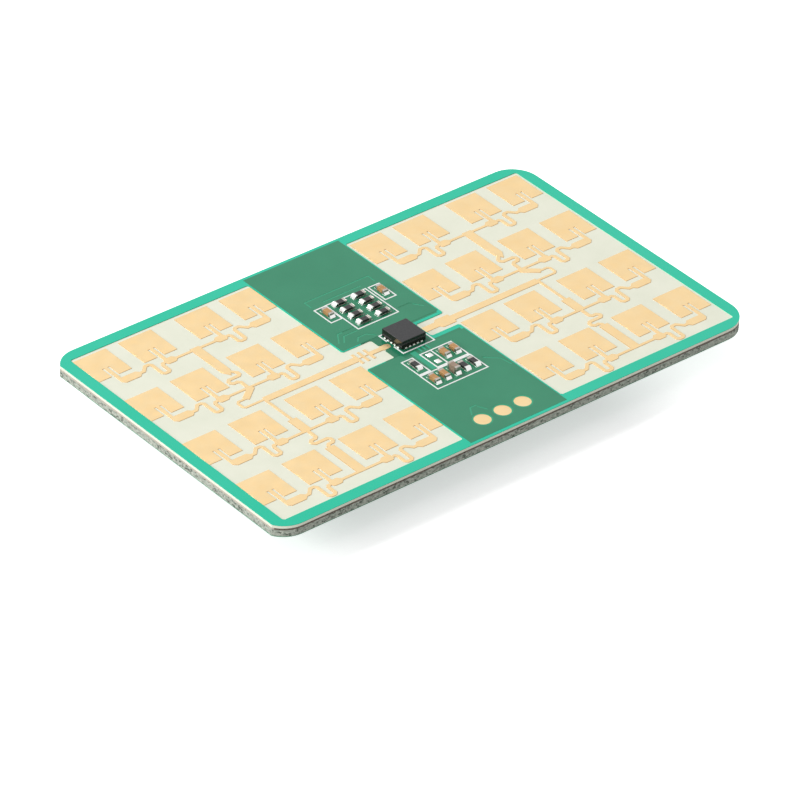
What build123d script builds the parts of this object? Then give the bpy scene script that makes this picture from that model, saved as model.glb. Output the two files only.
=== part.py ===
"""Microwave radar sensor module: a small two-material circuit board with two etched patch arrays.

Millimetres, +Z up, antenna face up. X runs along the long side, -Y is the front edge.
The origin is the middle of the board in X and Y, on the surface that the two sockets stand on.
"""
from build123d import *
import os

os.makedirs("parts", exist_ok=True)

# Board edge: a masked frame round the windows, round corners, and a straight parted left end
frame_width = 1.3
corner_radius = 3.0
left_trim = 0.45

# Layer stack
socket_height = 3.0
mask_thickness = 0.07
copper_thickness = 0.05
base_thickness = 0.70
bond_thickness = 0.20
laminate_thickness = 0.28
print_thickness = 0.025

under_face = socket_height
base_bottom = under_face + mask_thickness
base_top = base_bottom + base_thickness
laminate_bottom = base_top + bond_thickness
laminate_top = laminate_bottom + laminate_thickness
mask_top = laminate_top + mask_thickness

# Windows in the top mask, where the laminate lies bare
centre_left = -6.5
centre_right = 5.95
left_patch_gap = 0.02
right_patch_gap = 0.295
rear_patch_gap = 0.375
front_line_gap = 0.19
left_notch_end = -2.9
left_notch_front = -1.95
left_notch_rear = 1.75
right_notch_end = 2.4
right_notch_front = -1.2
right_notch_rear = 1.25
feed_slot_width = 0.8
feed_slot_end = -1.9
window_chamfer = 0.18

# Patch antennas
patch_length = 4.0
patch_width = 4.25
inner_patch = 3.45
outer_patch = 9.0
row_middle = 1.3
row_pair_spacing = 17.2
row_spacing = 8.2
feed_strip = 0.40
inset_gap = 0.24
inset_depth = 1.55

# Feed line of one row, below its patches
row_line_drop = 3.25
row_line = 0.32
bend_line = 0.38
inner_step_start = 2.35
inner_step_end = 3.75
inner_step_width = 0.95
outer_step_start = 6.75
outer_step_width = 1.0
step_taper = 0.35
step_shift = 0.03
delay_near = 4.25
delay_far = 5.12
delay_drop = 4.72
delay_rise = 2.62
delay_exit = 5.8
mitre = 0.22

# Trunk that joins the four rows of one array, measured from the second and third row lines
stub_width = 1.1
lower_stub_width = 1.05
serpentine_line = 0.4
serpentine_mitre = 0.24
serpentine_left = 0.75
serpentine_right = 0.95
rear_stub_end = 3.55
rear_turn_first = 2.65
rear_turn_second = 2.15
rear_turn_third = 1.4
front_thin_end = 2.35
front_wide_end = 0.15
front_turn_first = -1.5
front_turn_second = -2.15
front_turn_third = -2.95
front_stub_start = -3.35
angled_stub_width = 0.72
angled_stub_x = 1.4
angled_stub_drop = 1.35
link_line = 0.28
link_reach = 2.5
link_shift = 0.05

# Trunk from each array to the radar chip
trunk_y = 0.03
trunk_width = 0.84
match_width = 1.5
match_near = 4.2
match_far = 6.1
match_taper_near = 0.25
match_taper_far = 0.1
break_bars = (-5.95, -5.22, -4.48)
bar_width = 0.3
bar_length = 1.8
bar_link = 0.14
narrow_trunk = 0.6
chip_line = 0.25

# Ground pour under the centre mask
pour_side_margin = 0.15
pour_edge_margin = 0.35
pour_setback = 0.12
pour_clearance = 0.16
pad_clearance_sides = 16
trace_gap = 0.16
fan_left = -2.2
fan_right = 1.0
fan_front = -2.75
lane_left = -1.3
lane_right = -0.65
lane_front = -5.75

# Three round test pads
test_pad_pitch = 2.54
test_pad_diameter = 1.75
test_pad_x = -0.35
test_pad_inset = 2.7

# Chip parts and their lands
chip_part_length = 1.3
chip_part_width = 0.62
terminal_length = 0.27
terminal_lip = 0.015
resistor_height = 0.34
capacitor_height = 0.45
tall_capacitor_height = 0.85
land_length = 0.62
land_width = 0.66
land_overhang = 0.24
chip_part_pitch = 1.25
column_pitch = 2.45

# Where the chip parts stand on the antenna face
upper_middle = (-0.04, 6.63)
side_capacitor_y = 7.82
side_capacitor_left = -3.37
side_capacitor_right = 3.54
lower_row_y = -7.2
lower_row_x = 0.18
second_row_y = -4.31
single_resistor_x = -2.29
bare_land_x = 0.07
bare_land_size = 0.64
bare_land_spread = 1.3
pair_capacitor_x = 2.01

# Radar chip
chip_size = 3.05
chip_height = 0.92
chip_x = -0.03
chip_y = 0.15
chip_standoff = 0.03
chip_pins_per_side = 5
chip_pin_pitch = 0.5
chip_pin_width = 0.26
chip_pin_length = 0.34
chip_pin_height = 0.2
chip_land_overhang = 0.1
chip_paddle = 1.7
chip_edge_chamfer = 0.06

# White printed outlines round the parts
print_width = 0.15
print_side_margin = 0.37
print_end_margin = 0.68
print_drift = (-0.05, -0.12)
chip_box = (3.96, 3.72)
chip_box_middle = (0.22, 0.04)

# Sockets on the underside
socket_inset = 7.84
socket_ways = 8
socket_pitch = 2.0
socket_width = 2.4
socket_end_wall = 0.6
socket_hole = 0.95
socket_chamfer = 0.15
contact_thickness = 0.18
contact_leaf_length = 1.9
contact_tail_width = 0.5
contact_tail_reach = 0.9

# Controller on the underside
controller_x = -4.5
controller_y = 3.2
controller_size = 7.0
controller_height = 1.4
controller_pins_per_side = 8
controller_pin_pitch = 0.8
controller_pin_width = 0.35
gull_lead_thickness = 0.15
controller_lead_reach = 1.0
lead_foot = 0.55
body_draft = 7
body_standoff = 0.08
lead_land_margin = 0.12

# Amplifier on the underside
amplifier_x = 6.4
amplifier_y = 3.6
amplifier_length = 4.9
amplifier_width = 3.9
amplifier_height = 1.35
amplifier_pins_per_side = 4
amplifier_pin_pitch = 1.27
amplifier_pin_width = 0.42
amplifier_lead_reach = 1.05

# Voltage regulator on the underside
regulator_x = 11.6
regulator_y = -6.2
regulator_length = 3.0
regulator_width = 1.6
regulator_height = 1.05
regulator_pin_pitch = 0.95
regulator_pin_width = 0.4
regulator_lead_reach = 0.6
regulator_foot = 0.3

# Crystal on the underside
crystal_x = -11.6
crystal_y = 3.2
crystal_length = 3.2
crystal_width = 2.5
crystal_height = 0.75
crystal_lid_inset = 0.25
crystal_lid_height = 0.2
crystal_land = 0.9

# Rows of chip parts on the underside
under_row_y = -5.6
under_row_x = -2.4
under_row_pitch = 2.2
under_row_count = 6


def row_heights():
    """Middle of each of the four rows of patches, from the rear to the front."""
    pair = (row_pair_spacing / 2, -row_pair_spacing / 2)
    return [row_middle + far + near for far in pair for near in (row_spacing / 2, -row_spacing / 2)]


# Places that follow from the sizes above
all_sides = (0, 90, 180, 270)
row_lines = [height - row_line_drop for height in row_heights()]
array_reach = outer_patch + patch_length / 2
window_left = centre_left - 2 * (array_reach + left_patch_gap)
window_right = centre_right + 2 * (array_reach + right_patch_gap)
window_rear = row_heights()[0] + patch_width / 2 + rear_patch_gap
window_front = row_heights()[3] - delay_drop - bend_line / 2 - front_line_gap
left_array = (window_left + centre_left) / 2
right_array = (window_right + centre_right) / 2
board_left = window_left - frame_width
board_right = window_right + frame_width
board_front = window_front - frame_width
board_rear = window_rear + frame_width
pour_left = centre_left + pour_side_margin
pour_right = centre_right - pour_side_margin
pour_rear_block = left_notch_rear + pour_setback
pour_front_block = left_notch_front - pour_setback
test_pad_y = board_front + test_pad_inset


def write(part, label):
    """Label one finished piece and write its file."""
    part.label = label
    export_step(part, f"parts/{label}.step")


def board_outline():
    """The routed board with its left end parted off."""
    middle_y = (board_front + board_rear) / 2
    with BuildSketch() as outline:
        with Locations(((board_left - left_trim + board_right) / 2, middle_y)):
            RectangleRounded(board_right - board_left + left_trim, board_rear - board_front,
                             corner_radius)
        with Locations((board_left - left_trim / 2, middle_y)):
            Rectangle(left_trim, board_rear - board_front, mode=Mode.SUBTRACT)
    return outline.sketch


def mitred(points, cut):
    """The same route with each square bend cut across; gentle bends stay as they are."""
    route = [Vector(*point) for point in points]
    cut_route = [route[0]]
    for before, bend, after in zip(route, route[1:], route[2:]):
        arriving = (bend - before).normalized()
        leaving = (after - bend).normalized()
        if arriving.dot(leaving) > 0.5:
            cut_route.append(bend)
        else:
            cut_route += [bend - arriving * cut, bend + leaving * cut]
    return cut_route + [route[-1]]


def line_along(points, width, cut=0):
    """A copper line of constant width, with mitred bends where a cut is given."""
    with BuildSketch() as line:
        with BuildLine():
            Polyline(*(mitred(points, cut) if cut else points))
        trace(line_width=width)
    return line.sketch


def box_between(x_low, x_high, y_low, y_high):
    """A rectangle given by its sides."""
    with BuildSketch() as box:
        with Locations(((x_low + x_high) / 2, (y_low + y_high) / 2)):
            Rectangle(x_high - x_low, y_high - y_low)
    return box.sketch


def stepped_line(x_low, x_high, y, width, taper_low, taper_high):
    """A wide stretch of line with its ends tapered on both sides."""
    half = width / 2
    with BuildSketch() as step:
        with BuildLine():
            Polyline(
                (x_low, y - half + taper_low),
                (x_low + taper_low, y - half),
                (x_high - taper_high, y - half),
                (x_high, y - half + taper_high),
                (x_high, y + half - taper_high),
                (x_high - taper_high, y + half),
                (x_low + taper_low, y + half),
                (x_low, y + half - taper_low),
                close=True,
            )
        make_face()
    return step.sketch


def patch():
    """One patch with the two inset gaps beside its feed strip."""
    gap_offset = (feed_strip + inset_gap) / 2
    with BuildSketch() as square:
        Rectangle(patch_length, patch_width)
        with Locations(*[(side * gap_offset, (inset_depth - patch_width) / 2) for side in (-1, 1)]):
            Rectangle(inset_gap, inset_depth, mode=Mode.SUBTRACT)
    return square.sketch


def half_row():
    """The right half of a row: two patches and the stepped line that feeds them."""
    line_y = -row_line_drop
    feed_length = row_line_drop - patch_width / 2
    feed_y = line_y + feed_length / 2
    turn_end = outer_patch + feed_strip / 2
    with BuildSketch() as row:
        with Locations((inner_patch, 0), (outer_patch, 0)):
            add(patch())
        with Locations((inner_patch, feed_y), (outer_patch, feed_y)):
            Rectangle(feed_strip, feed_length)
        add(box_between(0, delay_near, line_y - row_line / 2, line_y + row_line / 2))
        add(stepped_line(inner_step_start, inner_step_end, line_y + step_shift, inner_step_width,
                         step_taper, step_taper / 2))
        add(line_along(
            [(delay_near - row_line, line_y), (delay_near, line_y), (delay_near, -delay_drop),
             (delay_far, -delay_drop), (delay_far, -delay_rise), (delay_exit, -delay_rise),
             (outer_step_start - step_taper, line_y), (outer_step_start + step_taper, line_y)],
            bend_line, mitre))
        add(stepped_line(outer_step_start, turn_end, line_y, outer_step_width,
                         step_taper, step_taper))
    return row.sketch


def row():
    """Four patches in line, fed from the middle."""
    with BuildSketch() as whole:
        add(half_row())
        mirror(about=Plane.YZ)
    return whole.sketch


def array_trunk():
    """The stubs and serpentines that join the four row lines, about the array's middle."""
    half = stub_width / 2
    front_half = lower_stub_width / 2
    rear_line = row_lines[1]
    front_line = row_lines[2]
    stub_end = rear_line + rear_stub_end
    angled_y = rear_line - angled_stub_drop
    link_y = trunk_y + link_shift
    with BuildSketch() as trunk:
        # Rear stub, tapered towards the serpentine
        with BuildLine():
            Polyline((-half, row_lines[0] + row_line), (half, row_lines[0] + row_line),
                     (half, stub_end), (0, rear_line + rear_turn_first), (-half, stub_end),
                     close=True)
        make_face()
        add(line_along(
            [(0, stub_end), (-serpentine_left, rear_line + rear_turn_first),
             (-serpentine_left, rear_line + rear_turn_second),
             (serpentine_right, rear_line + rear_turn_second),
             (serpentine_right, rear_line + rear_turn_third),
             (0, rear_line + rear_turn_third), (0, rear_line)],
            serpentine_line, serpentine_mitre))
        # Angled stub and the link that carries the signal from it to the trunk
        add(line_along([(-link_line, rear_line - link_shift), (angled_stub_x, angled_y)],
                       angled_stub_width))
        add(line_along([(angled_stub_x - link_line, angled_y + link_shift),
                        (link_reach, angled_y + link_shift), (link_reach, link_y), (0, link_y)],
                       link_line, mitre))
        # Front half, from the trunk down
        add(box_between(-row_line / 2, row_line / 2, front_line + front_thin_end, trunk_y))
        add(box_between(-front_half, front_half, front_line + front_wide_end,
                        front_line + front_thin_end))
        add(line_along(
            [(0, front_line + front_wide_end), (0, front_line + front_turn_first),
             (serpentine_right, front_line + front_turn_first),
             (serpentine_right, front_line + front_turn_second),
             (-serpentine_right, front_line + front_turn_second),
             (-serpentine_right, front_line + front_turn_third),
             (0, front_line + front_turn_third), (0, front_line + front_stub_start - row_line)],
            serpentine_line, serpentine_mitre))
        add(box_between(-half, half, row_lines[3] - row_line / 2,
                        front_line + front_stub_start))
    return trunk.sketch


def antenna(array_x, side):
    """One array with its rows and its trunk, mirrored for the left side."""
    with BuildSketch() as array:
        with Locations(*[(array_x, height) for height in row_heights()]):
            add(row())
        trunk = array_trunk()
        if side < 0:
            trunk = mirror(trunk, about=Plane.YZ, mode=Mode.PRIVATE)
        with Locations((array_x, 0)):
            add(trunk)
    return array.sketch


def band(x_low, x_high, width):
    """A stretch of the trunk between an array and the chip."""
    return box_between(x_low, x_high, trunk_y - width / 2, trunk_y + width / 2)


def inside_print(middle, size, growth):
    """A printed box, as far off its parts as the print has drifted, and grown all round."""
    with BuildSketch() as inside:
        with Locations((middle[0] + print_drift[0], middle[1] + print_drift[1])):
            Rectangle(size[0] + growth, size[1] + growth)
    return inside.sketch


def land_pair(x, y, angle):
    """Two lands under one chip part."""
    reach = chip_part_length / 2 + land_overhang - land_length / 2
    with BuildSketch() as lands:
        with Locations(Location((x, y, 0), (0, 0, angle))):
            with Locations((-reach, 0), (reach, 0)):
                Rectangle(land_length, land_width)
    return lands.sketch


def part_opening(x, y, angle):
    """The mask's opening round both lands of one chip part."""
    with BuildSketch() as opening:
        with Locations(Location((x, y, 0), (0, 0, angle))):
            Rectangle(chip_part_length + 2 * land_overhang, land_width)
    return opening.sketch


def chip_pin_places():
    """Middle and angle of each side terminal of the radar chip, at the body's edge."""
    offsets = [(index - (chip_pins_per_side - 1) / 2) * chip_pin_pitch
               for index in range(chip_pins_per_side)]
    return [(turn, offset) for turn in all_sides for offset in offsets]


def gang_openings(x, y, turns, near, far, width):
    """One opening on each side of a package that has lands, round all of them."""
    with BuildSketch() as openings:
        for turn in turns:
            with Locations(Location((x, y, 0), (0, 0, turn))):
                with Locations(((near + far) / 2, 0)):
                    Rectangle(far - near, width)
    return openings.sketch


def chip_lands():
    """Lands of the radar chip: one under each side terminal and one under its paddle."""
    length = chip_pin_length + chip_land_overhang
    reach = chip_size / 2 + chip_land_overhang - length / 2
    with BuildSketch() as lands:
        with Locations((chip_x, chip_y)):
            Rectangle(chip_paddle, chip_paddle)
        for turn, offset in chip_pin_places():
            with Locations(Location((chip_x, chip_y, 0), (0, 0, turn))):
                with Locations((reach, offset)):
                    Rectangle(length, chip_pin_width)
    return lands.sketch


def upper_resistors():
    """Eight resistors in two columns of four, as name, x, y, angle and height."""
    middle_x, middle_y = upper_middle
    places = []
    for line in range(4):
        for column in range(2):
            x = middle_x + (column - 0.5) * column_pitch
            y = middle_y + (1.5 - line) * chip_part_pitch
            places.append((f"upper_resistor_{line * 2 + column + 1}", x, y, 0, resistor_height))
    return places


def lower_parts():
    """The line of five parts and the three behind it, as name, x, y, angle and height."""
    line = [("lower_capacitor_1", capacitor_height), ("lower_capacitor_2", capacitor_height),
            ("lower_capacitor_3", tall_capacitor_height), ("lower_resistor_1", resistor_height),
            ("lower_resistor_2", resistor_height)]
    places = [(name, lower_row_x + (index - 2) * chip_part_pitch, lower_row_y, 90, height)
              for index, (name, height) in enumerate(line)]
    places.append(("single_resistor", single_resistor_x, second_row_y, 90, resistor_height))
    for index, name in enumerate(("pair_capacitor_1", "pair_capacitor_2")):
        x = pair_capacitor_x + (index - 0.5) * chip_part_pitch
        places.append((name, x, second_row_y, 90, capacitor_height))
    return places


top_parts = upper_resistors() + lower_parts() + [
    ("side_capacitor_left", side_capacitor_left, side_capacitor_y, 90, capacitor_height),
    ("side_capacitor_right", side_capacitor_right, side_capacitor_y, 90, capacitor_height),
]

under_parts = [
    (f"under_{'capacitor' if index % 2 else 'resistor'}_{index // 2 + 1}",
     under_row_x + (index - (under_row_count - 1) / 2) * under_row_pitch, under_row_y, 90,
     capacitor_height if index % 2 else resistor_height)
    for index in range(under_row_count)
]


def chip_part(x, y, angle, height, seat, up):
    """A chip part: a ceramic block with a slightly proud metal cap on each end."""
    cap_x = (chip_part_length - terminal_length) / 2
    middle = seat + up * height / 2
    with BuildPart() as part:
        with Locations(Location((x, y, middle), (0, 0, angle))):
            Box(chip_part_length, chip_part_width - 2 * terminal_lip, height - 2 * terminal_lip)
            with Locations((-cap_x, 0, 0), (cap_x, 0, 0)):
                Box(terminal_length, chip_part_width, height)
    return part.part


# Copper, laid flat
left_line_end = chip_x - chip_size / 2 + chip_pin_length
right_line_end = chip_x + chip_size / 2 - chip_pin_length

with BuildSketch() as left_copper:
    add(antenna(left_array, -1))
    add(band(left_array, break_bars[0], trunk_width))
    with Locations(*[(x, trunk_y) for x in break_bars]):
        Rectangle(bar_width, bar_length)
    add(band(break_bars[0], break_bars[2], bar_link))
    add(band(break_bars[2], left_notch_end, narrow_trunk))
    add(band(left_notch_end, left_line_end, chip_line))

with BuildSketch() as right_copper:
    add(antenna(right_array, 1))
    add(band(match_far, right_array, trunk_width))
    add(stepped_line(match_near, match_far, trunk_y, match_width, match_taper_near,
                     match_taper_far))
    add(band(right_notch_end, match_near, trunk_width))
    add(band(right_line_end, right_notch_end, chip_line))

with BuildSketch() as test_pads:
    with Locations((test_pad_x, test_pad_y)):
        with GridLocations(test_pad_pitch, 0, 3, 1):
            Circle(test_pad_diameter / 2)

with BuildSketch() as top_lands:
    for name, x, y, angle, height in top_parts:
        add(land_pair(x, y, angle))
    with Locations((bare_land_x, second_row_y)):
        with GridLocations(0, bare_land_spread, 1, 2):
            Rectangle(bare_land_size, bare_land_size)
    add(chip_lands())
    add(left_copper.sketch, mode=Mode.SUBTRACT)
    add(right_copper.sketch, mode=Mode.SUBTRACT)

def part_span(count, pitch, size):
    """How far a line of parts reaches from end to end."""
    return (count - 1) * pitch + size


# Middle and size of each printed box
upright_box = (chip_part_width + 2 * print_side_margin, chip_part_length + 2 * print_end_margin)
upper_box = (part_span(2, column_pitch, chip_part_length) + 2 * print_end_margin,
             part_span(4, chip_part_pitch, chip_part_width) + 2 * print_side_margin)
lower_box = (part_span(5, chip_part_pitch, chip_part_width) + 2 * print_side_margin,
             upright_box[1])
pair_box = (part_span(2, chip_part_pitch, chip_part_width) + 2 * print_side_margin,
            upright_box[1])
bare_box_left = bare_land_x - bare_land_size / 2 - print_side_margin
bare_box_right = pair_capacitor_x - pair_box[0] / 2
printed_boxes = [
    (upper_middle, upper_box),
    ((side_capacitor_left, side_capacitor_y), upright_box),
    ((side_capacitor_right, side_capacitor_y), upright_box),
    ((single_resistor_x, second_row_y), upright_box),
    (((bare_box_left + bare_box_right) / 2, second_row_y),
     (bare_box_right - bare_box_left, upright_box[1])),
    ((pair_capacitor_x, second_row_y), pair_box),
    ((lower_row_x, lower_row_y), lower_box),
    (chip_box_middle, chip_box),
]

# Routing gaps that show through the mask as brighter lines
routing_gaps = [
    [(-4.0, 9.6), (-4.0, 10.7), (4.1, 10.7), (4.1, 9.6)],
    [(-2.4, 9.75), (2.4, 9.75)],
    [(-5.8, 3.1), (-4.9, 4.45), (-2.9, 4.45)],
    [(-5.3, 2.9), (-4.6, 3.85), (-2.9, 3.85)],
    [(-4.1, 2.3), (-3.6, 2.85), (-2.6, 2.85), (-1.9, 2.1)],
    [(2.9, 4.5), (4.3, 4.5), (5.2, 3.3)],
    [(-3.3, -14.0), (-2.6, -12.9), (-1.8, -12.9)],
    [(-1.4, -14.1), (-1.9, -13.1)],
    [(3.9, -7.0), (5.3, -8.2), (5.5, -9.6)],
]

with BuildSketch() as pour:
    add(box_between(pour_left, pour_right, pour_rear_block, board_rear - pour_edge_margin))
    add(box_between(pour_left, pour_right, board_front + pour_edge_margin, pour_front_block))
    for points in routing_gaps:
        add(line_along(points, trace_gap), mode=Mode.SUBTRACT)
    # Where the chip's signals fan out, and where some of them run on between the printed boxes
    add(box_between(fan_left, fan_right, fan_front, pour_front_block), mode=Mode.SUBTRACT)
    add(box_between(lane_left, lane_right, lane_front, fan_front), mode=Mode.SUBTRACT)
    # Open under each group of parts, under the chip and round the test pads
    for middle, size in printed_boxes:
        add(inside_print(middle, size, -print_width), mode=Mode.SUBTRACT)
    with Locations((test_pad_x, test_pad_y)):
        with GridLocations(test_pad_pitch, 0, 3, 1):
            RegularPolygon(test_pad_diameter / 2 + pour_clearance, pad_clearance_sides,
                           major_radius=False, mode=Mode.SUBTRACT)

# Layers of the board
with BuildPart() as base_laminate:
    with BuildSketch(Plane.XY.offset(base_bottom)):
        add(board_outline())
    extrude(amount=base_thickness)
write(base_laminate.part, "base_laminate")

with BuildPart() as bond_layer:
    with BuildSketch(Plane.XY.offset(base_top)):
        add(board_outline())
    extrude(amount=bond_thickness)
write(bond_layer.part, "bond_layer")

with BuildPart() as rf_laminate:
    with BuildSketch(Plane.XY.offset(laminate_bottom)):
        add(board_outline())
    extrude(amount=laminate_thickness)
write(rf_laminate.part, "rf_laminate")

for name, copper in (("antenna_copper_left", left_copper), ("antenna_copper_right", right_copper)):
    with BuildPart() as foil:
        with BuildSketch(Plane.XY.offset(laminate_top)):
            add(copper.sketch)
        extrude(amount=copper_thickness)
    write(foil.part, name)

with BuildPart() as ground_pour:
    with BuildSketch(Plane.XY.offset(laminate_top)):
        add(pour.sketch)
    extrude(amount=copper_thickness)
write(ground_pour.part, "ground_pour")

# Top mask: a coat over the copper and the bare laminate, open over the arrays and the lands
with BuildSketch() as mask_windows:
    add(box_between(window_left, centre_left, window_front, window_rear))
    add(box_between(centre_left, left_notch_end, left_notch_front, left_notch_rear))
    add(box_between(left_notch_end, feed_slot_end,
                    trunk_y - feed_slot_width / 2, trunk_y + feed_slot_width / 2))
    add(box_between(centre_right, window_right, window_front, window_rear))
    add(box_between(right_notch_end, centre_right, right_notch_front, right_notch_rear))
    chamfer(mask_windows.vertices(), length=window_chamfer)

with BuildPart() as solder_mask_top:
    with BuildSketch(Plane.XY.offset(laminate_top)):
        add(board_outline())
        add(mask_windows.sketch, mode=Mode.SUBTRACT)
        add(top_lands.sketch, mode=Mode.SUBTRACT)
        for name, x, y, angle, height in top_parts:
            add(part_opening(x, y, angle), mode=Mode.SUBTRACT)
        add(gang_openings(chip_x, chip_y, all_sides, chip_size / 2 - chip_pin_length,
                          chip_size / 2 + chip_land_overhang, chip_pins_per_side * chip_pin_pitch),
            mode=Mode.SUBTRACT)
        add(test_pads.sketch, mode=Mode.SUBTRACT)
    extrude(amount=mask_thickness)
    with BuildSketch(Plane.XY.offset(laminate_top)):
        add(pour.sketch)
        add(band(left_notch_end, left_line_end, chip_line))
        add(band(right_line_end, right_notch_end, chip_line))
    extrude(amount=copper_thickness, mode=Mode.SUBTRACT)
write(solder_mask_top.part, "solder_mask_top")

with BuildPart() as component_lands:
    with BuildSketch(Plane.XY.offset(laminate_top)):
        add(top_lands.sketch)
    extrude(amount=mask_thickness)
write(component_lands.part, "component_lands")

for index in range(3):
    with BuildPart() as test_pad:
        with BuildSketch(Plane.XY.offset(laminate_top)):
            with Locations((test_pad_x + (index - 1) * test_pad_pitch, test_pad_y)):
                Circle(test_pad_diameter / 2)
        extrude(amount=copper_thickness)
    write(test_pad.part, f"test_pad_{index + 1}")

# White print: an outline round each group of parts
with BuildPart() as printed_outlines:
    with BuildSketch(Plane.XY.offset(mask_top)):
        for middle, size in printed_boxes:
            with BuildSketch(mode=Mode.PRIVATE) as outline:
                add(inside_print(middle, size, print_width))
                add(inside_print(middle, size, -print_width), mode=Mode.SUBTRACT)
            add(outline.sketch)
        add(box_between(left_notch_end, chip_x, trunk_y - feed_slot_width / 2 - print_width,
                        trunk_y + feed_slot_width / 2 + print_width), mode=Mode.SUBTRACT)
    extrude(amount=print_thickness)
write(printed_outlines.part, "printed_outlines")

# Chip parts on both faces
for name, x, y, angle, height in top_parts:
    write(chip_part(x, y, angle, height, mask_top, 1), name)

for name, x, y, angle, height in under_parts:
    write(chip_part(x, y, angle, height, under_face, -1), name)

# Radar chip: a flat plastic body with metal terminals let into its lower edge
with BuildPart() as radar_chip_terminals:
    terminal_reach = (chip_size - chip_pin_length) / 2
    for turn, spot in chip_pin_places():
        with Locations(Location((chip_x, chip_y, mask_top), (0, 0, turn))):
            with Locations((terminal_reach, spot, chip_pin_height / 2)):
                Box(chip_pin_length, chip_pin_width, chip_pin_height)
    with Locations((chip_x, chip_y, mask_top + chip_pin_height / 2)):
        Box(chip_paddle, chip_paddle, chip_pin_height)

with BuildPart() as radar_chip_body:
    with BuildSketch(Plane.XY.offset(mask_top + chip_pin_height)):
        with Locations((chip_x, chip_y)):
            Rectangle(chip_size, chip_size)
    extrude(amount=chip_height - chip_pin_height)
    chamfer(radar_chip_body.faces().sort_by(Axis.Z)[-1].edges(), length=chip_edge_chamfer)
    core = chip_size - 2 * chip_pin_length
    with BuildSketch(Plane.XY.offset(mask_top + chip_standoff)):
        with Locations((chip_x, chip_y)):
            Rectangle(core, core)
            Rectangle(chip_paddle, chip_paddle, mode=Mode.SUBTRACT)
    extrude(amount=chip_pin_height - chip_standoff)
write(radar_chip_body.part, "radar_chip_body")
write(radar_chip_terminals.part, "radar_chip_terminals")


# Underside: leaded packages
def gull_lead(body_half, width, reach, foot, height):
    """One lead: out of the body at half height, down, and flat on its land."""
    middle = under_face - (height + body_standoff) / 2
    sole = under_face - gull_lead_thickness / 2
    knee = body_half + reach - foot
    shoulder = body_half + (reach - foot) / 2
    with BuildPart() as lead:
        with BuildSketch(Plane.XZ):
            with BuildLine():
                Polyline((body_half, middle), (shoulder, middle),
                         (knee, sole), (body_half + reach, sole))
            trace(line_width=gull_lead_thickness)
        extrude(amount=width / 2, both=True)
    return lead.part


def lead_places(count, pitch):
    """Offsets of a side's leads from the middle of that side."""
    return [(index - (count - 1) / 2) * pitch for index in range(count)]


def package_body(x, y, length, width, height):
    """A moulded body: a straight waist and two drafted halves."""
    middle = under_face - (height + body_standoff) / 2
    half_waist = gull_lead_thickness / 2
    half_height = (height - body_standoff) / 2
    with BuildPart() as body:
        with BuildSketch(Plane.XY.offset(middle)):
            with Locations((x, y)):
                Rectangle(length, width)
        extrude(amount=half_waist, both=True)
        for plane in (Plane.XY.offset(middle + half_waist), -Plane.XY.offset(middle - half_waist)):
            with BuildSketch(plane):
                with Locations(plane.to_local_coords(Vector(x, y, middle))):
                    Rectangle(length, width)
            extrude(amount=half_height - half_waist, taper=body_draft)
    return body.part


def leads_on_sides(x, y, sides, width, reach, foot, height):
    """Leads of one package; sides gives turn, distance to the body's side and lead offsets."""
    with BuildPart() as leads:
        for turn, body_half, offsets in sides:
            lead = gull_lead(body_half, width, reach, foot, height)
            with Locations(Location((x, y, 0), (0, 0, turn))):
                with Locations(*[(0, spot) for spot in offsets]):
                    add(lead)
    return leads.part


def lead_lands(x, y, sides, width, reach, foot):
    """Lands under the feet of one package's leads."""
    length = foot + land_overhang
    with BuildSketch() as lands:
        for turn, body_half, offsets in sides:
            with Locations(Location((x, y, 0), (0, 0, turn))):
                with Locations(*[(body_half + reach - foot / 2, spot) for spot in offsets]):
                    Rectangle(length, width)
    return lands.sketch


controller_sides = [(turn, controller_size / 2,
                     lead_places(controller_pins_per_side, controller_pin_pitch))
                    for turn in all_sides]
amplifier_sides = [(turn, amplifier_width / 2,
                    lead_places(amplifier_pins_per_side, amplifier_pin_pitch))
                   for turn in (90, 270)]
regulator_sides = [(90, regulator_width / 2, lead_places(3, regulator_pin_pitch)),
                   (270, regulator_width / 2, lead_places(2, 2 * regulator_pin_pitch))]

write(package_body(controller_x, controller_y, controller_size, controller_size,
                   controller_height), "controller_body")
write(leads_on_sides(controller_x, controller_y, controller_sides, controller_pin_width,
                     controller_lead_reach, lead_foot, controller_height), "controller_leads")
write(package_body(amplifier_x, amplifier_y, amplifier_length, amplifier_width,
                   amplifier_height), "amplifier_body")
write(leads_on_sides(amplifier_x, amplifier_y, amplifier_sides, amplifier_pin_width,
                     amplifier_lead_reach, lead_foot, amplifier_height), "amplifier_leads")
write(package_body(regulator_x, regulator_y, regulator_length, regulator_width,
                   regulator_height), "regulator_body")
write(leads_on_sides(regulator_x, regulator_y, regulator_sides, regulator_pin_width,
                     regulator_lead_reach, regulator_foot, regulator_height),
      "regulator_leads")

with BuildPart() as crystal:
    with BuildSketch(Plane.XY.offset(under_face)):
        with Locations((crystal_x, crystal_y)):
            Rectangle(crystal_length, crystal_width)
    extrude(amount=crystal_lid_height - crystal_height)
    with BuildSketch(Plane.XY.offset(under_face - crystal_height + crystal_lid_height)):
        with Locations((crystal_x, crystal_y)):
            Rectangle(crystal_length - 2 * crystal_lid_inset,
                      crystal_width - 2 * crystal_lid_inset)
    extrude(amount=-crystal_lid_height)
write(crystal.part, "crystal")


# Underside: two sockets, whose faces carry the board
def socket_offsets():
    """Offset along the socket, and the side its tail leaves on, of each contact."""
    return [(spot, 1 if index % 2 else -1)
            for index, spot in enumerate(lead_places(socket_ways, socket_pitch))]


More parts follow.
